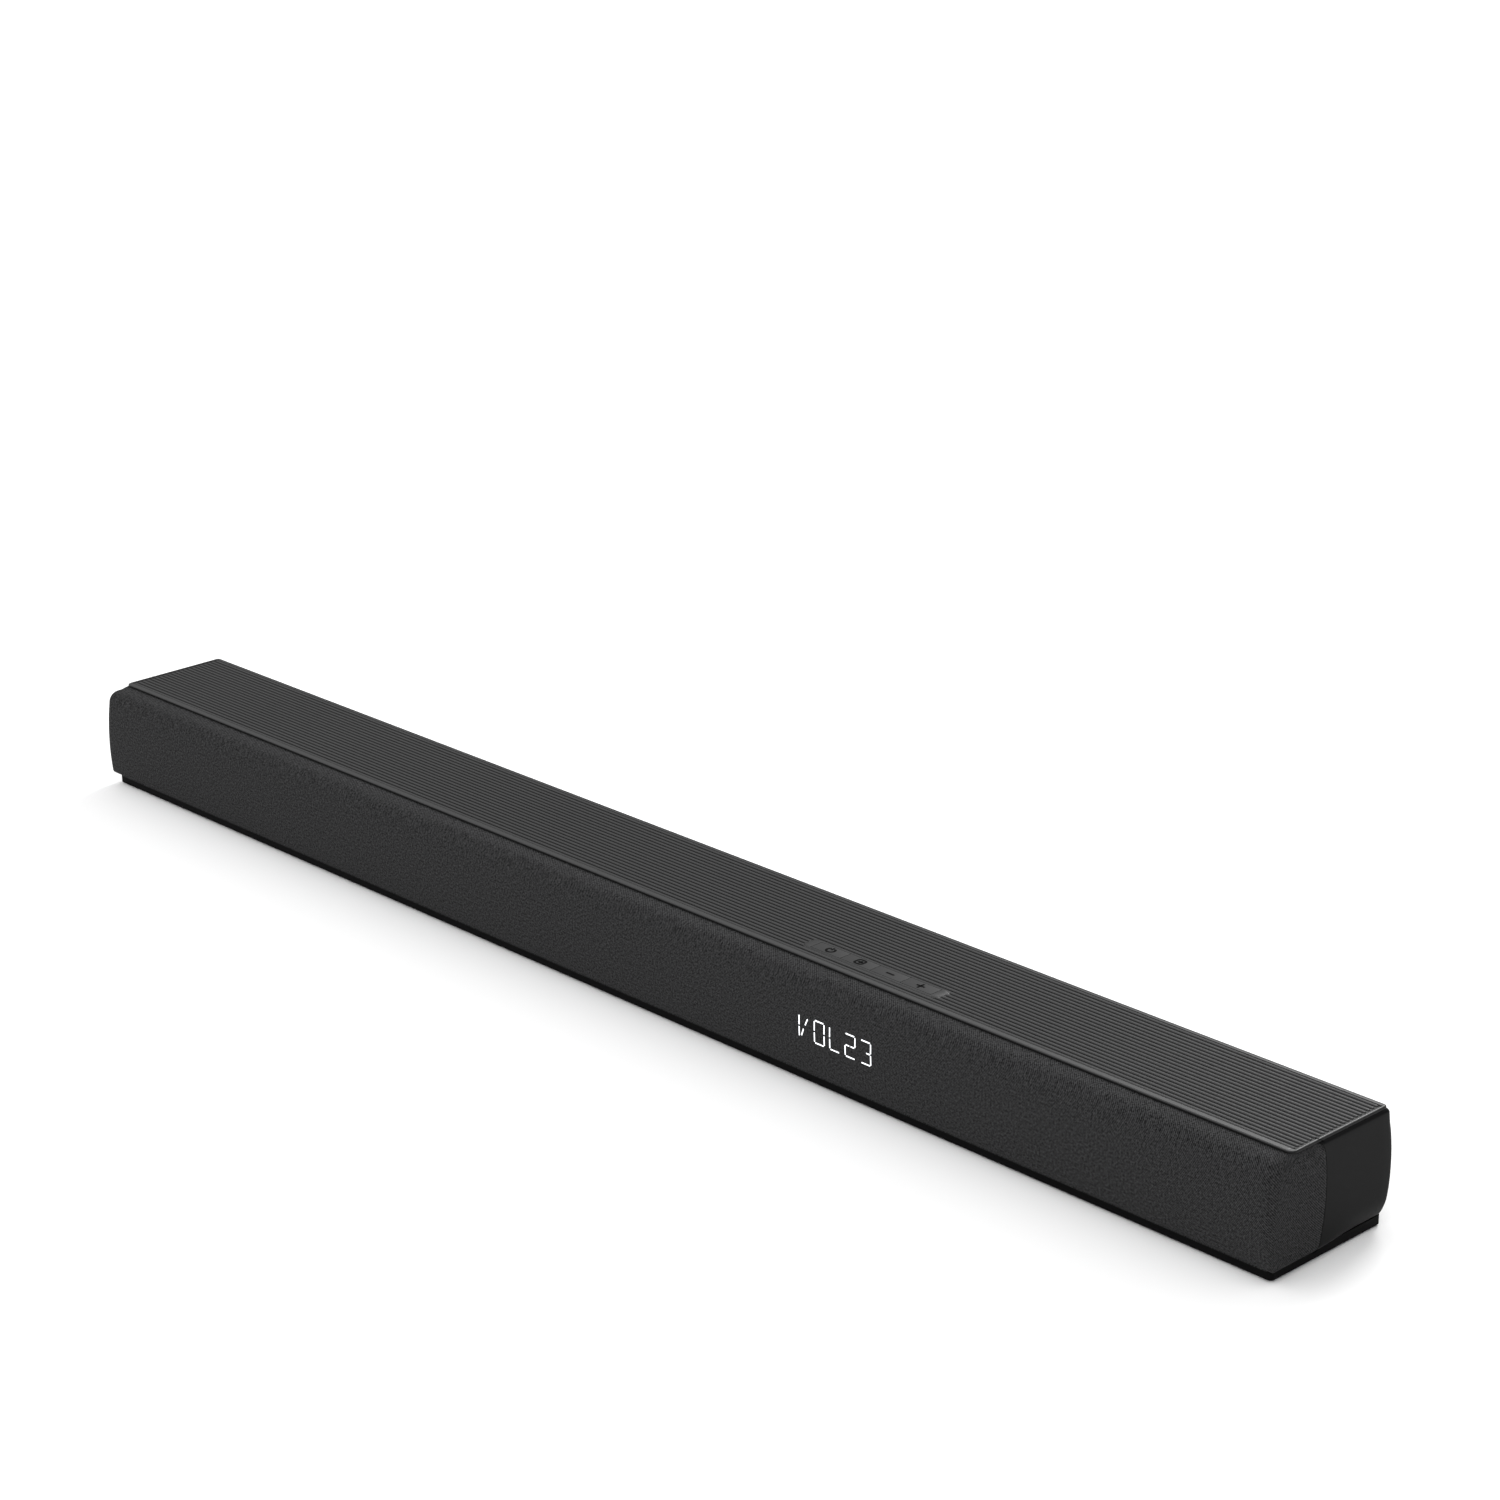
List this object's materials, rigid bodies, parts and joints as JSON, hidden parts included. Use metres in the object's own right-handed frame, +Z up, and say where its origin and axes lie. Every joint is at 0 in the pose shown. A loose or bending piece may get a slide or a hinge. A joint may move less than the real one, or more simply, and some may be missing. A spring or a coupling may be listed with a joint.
{
  "type": "soundbar",
  "caption": "Long low television soundbar with a wrapped cloth front, grooved top plate with touch keys, lit display behind the cloth, and rear sockets in a recess.",
  "frame": {"origin": "centre of the footprint, on the surface the feet stand on", "axes": "+X along the bar to its right end as seen from the front, -Y out of the cloth front, +Z up"},
  "size_m": [0.95, 0.096, 0.065],
  "materials": {
    "housing_plastic": "fine spark-eroded texture",
    "chassis_plastic": "fine texture",
    "baffle_plastic": "moulded",
    "cap_plastic": "fine satin texture",
    "top_plate": "fine lengthwise grooves",
    "key_strip": "smooth satin",
    "grille_frame": "moulded",
    "grille_cloth": "fine woven acoustic cloth",
    "foot_rubber": "matt",
    "insert_brass": "turned",
    "circuit_board": "solder mask",
    "switch_plastic": "moulded",
    "display_black": "gloss",
    "display_light": "lit",
    "receiver_lens": "gloss",
    "component_black": "moulded epoxy and sleeved cans",
    "heat_sink": "extruded",
    "shield_steel": "pressed",
    "transformer": "tape over windings",
    "socket_black": "moulded",
    "socket_steel": "nickel plated",
    "shutter_plastic": "moulded",
    "basket_metal": "black paint on pressed steel",
    "magnet_ferrite": "ground ferrite and zinc plated plates",
    "cone_paper": "pressed pulp",
    "surround_rubber": "matt",
    "spider_cloth": "resin-dipped cotton",
    "tweeter_plastic": "moulded",
    "dome_silk": "doped silk",
    "gasket_foam": "closed foam",
    "zinc_screw": "zinc plated",
    "black_screw": "black oxide",
    "cable_vinyl": "vinyl sleeve",
    "ribbon_vinyl": "flat vinyl cable"
  },
  "bodies": {
    "housing": {"rear_housing": "housing_plastic", "connector_panel": "housing_plastic", "mains_panel": "housing_plastic", "bottom_chassis": "chassis_plastic", "front_baffle": "baffle_plastic", "left_end_cap": "cap_plastic", "right_end_cap": "cap_plastic", "top_cover": "top_plate", "keypad_bezel": "key_strip", "grille_frame": "grille_frame", "grille_cloth": "grille_cloth", "rubber_feet": "foot_rubber", "wall_mount_inserts": "insert_brass", "key_board": "circuit_board", "display_board": "circuit_board", "main_board": "circuit_board", "power_board": "circuit_board", "key_switches": "switch_plastic", "display_module": "display_black", "display_segments": "display_light", "infrared_receiver": "receiver_lens", "main_board_parts": "component_black", "power_board_parts": "component_black", "amplifier_heat_sink": "heat_sink", "wireless_module": "shield_steel", "power_transformer": "transformer", "mains_inlet": "socket_black", "optical_socket": "socket_black", "aux_socket": "socket_black", "digital_sockets": "socket_steel", "left_driver_basket": "basket_metal", "left_driver_magnet": "magnet_ferrite", "left_driver_surround": "surround_rubber", "left_driver_spider": "spider_cloth", "centre_driver_basket": "basket_metal", "centre_driver_magnet": "magnet_ferrite", "centre_driver_surround": "surround_rubber", "centre_driver_spider": "spider_cloth", "right_driver_basket": "basket_metal", "right_driver_magnet": "magnet_ferrite", "right_driver_surround": "surround_rubber", "right_driver_spider": "spider_cloth", "left_tweeter_body": "tweeter_plastic", "left_tweeter_dome": "dome_silk", "right_tweeter_body": "tweeter_plastic", "right_tweeter_dome": "dome_silk", "driver_gaskets": "gasket_foam", "driver_screws": "zinc_screw", "board_screws": "zinc_screw", "cabinet_screws": "black_screw", "speaker_cables": "cable_vinyl", "ribbon_cables": "ribbon_vinyl"},
    "power_key": {"power_key": "key_strip"},
    "source_key": {"source_key": "key_strip"},
    "volume_down_key": {"volume_down_key": "key_strip"},
    "volume_up_key": {"volume_up_key": "key_strip"},
    "left_cone": {"left_driver_cone": "cone_paper"},
    "centre_cone": {"centre_driver_cone": "cone_paper"},
    "right_cone": {"right_driver_cone": "cone_paper"},
    "optical_shutter": {"optical_shutter": "shutter_plastic"}
  },
  "joints": [
    {"name": "power_key_press", "type": "slide", "parent": "housing", "child": "power_key", "axis": [0, 0, -1], "range_m": [0, 0.0005], "stiffness_N_per_m": 1200},
    {"name": "source_key_press", "type": "slide", "parent": "housing", "child": "source_key", "axis": [0, 0, -1], "range_m": [0, 0.0005], "stiffness_N_per_m": 1200},
    {"name": "volume_down_key_press", "type": "slide", "parent": "housing", "child": "volume_down_key", "axis": [0, 0, -1], "range_m": [0, 0.0005], "stiffness_N_per_m": 1200},
    {"name": "volume_up_key_press", "type": "slide", "parent": "housing", "child": "volume_up_key", "axis": [0, 0, -1], "range_m": [0, 0.0005], "stiffness_N_per_m": 1200},
    {"name": "left_cone_travel", "type": "slide", "parent": "housing", "child": "left_cone", "axis": [0, -1, 0], "range_m": [-0.002, 0.002], "stiffness_N_per_m": 1200, "deforming": ["left_driver_surround", "left_driver_spider"]},
    {"name": "centre_cone_travel", "type": "slide", "parent": "housing", "child": "centre_cone", "axis": [0, -1, 0], "range_m": [-0.002, 0.002], "stiffness_N_per_m": 1200, "deforming": ["centre_driver_surround", "centre_driver_spider"]},
    {"name": "right_cone_travel", "type": "slide", "parent": "housing", "child": "right_cone", "axis": [0, -1, 0], "range_m": [-0.002, 0.002], "stiffness_N_per_m": 1200, "deforming": ["right_driver_surround", "right_driver_spider"]},
    {"name": "optical_shutter_hinge", "type": "hinge", "parent": "housing", "child": "optical_shutter", "pos_m": [0.13, 0.025, 0.024], "axis": [-1, 0, 0], "range_deg": [0, 80], "stiffness_Nm_per_rad": 0.0005}
  ]
}
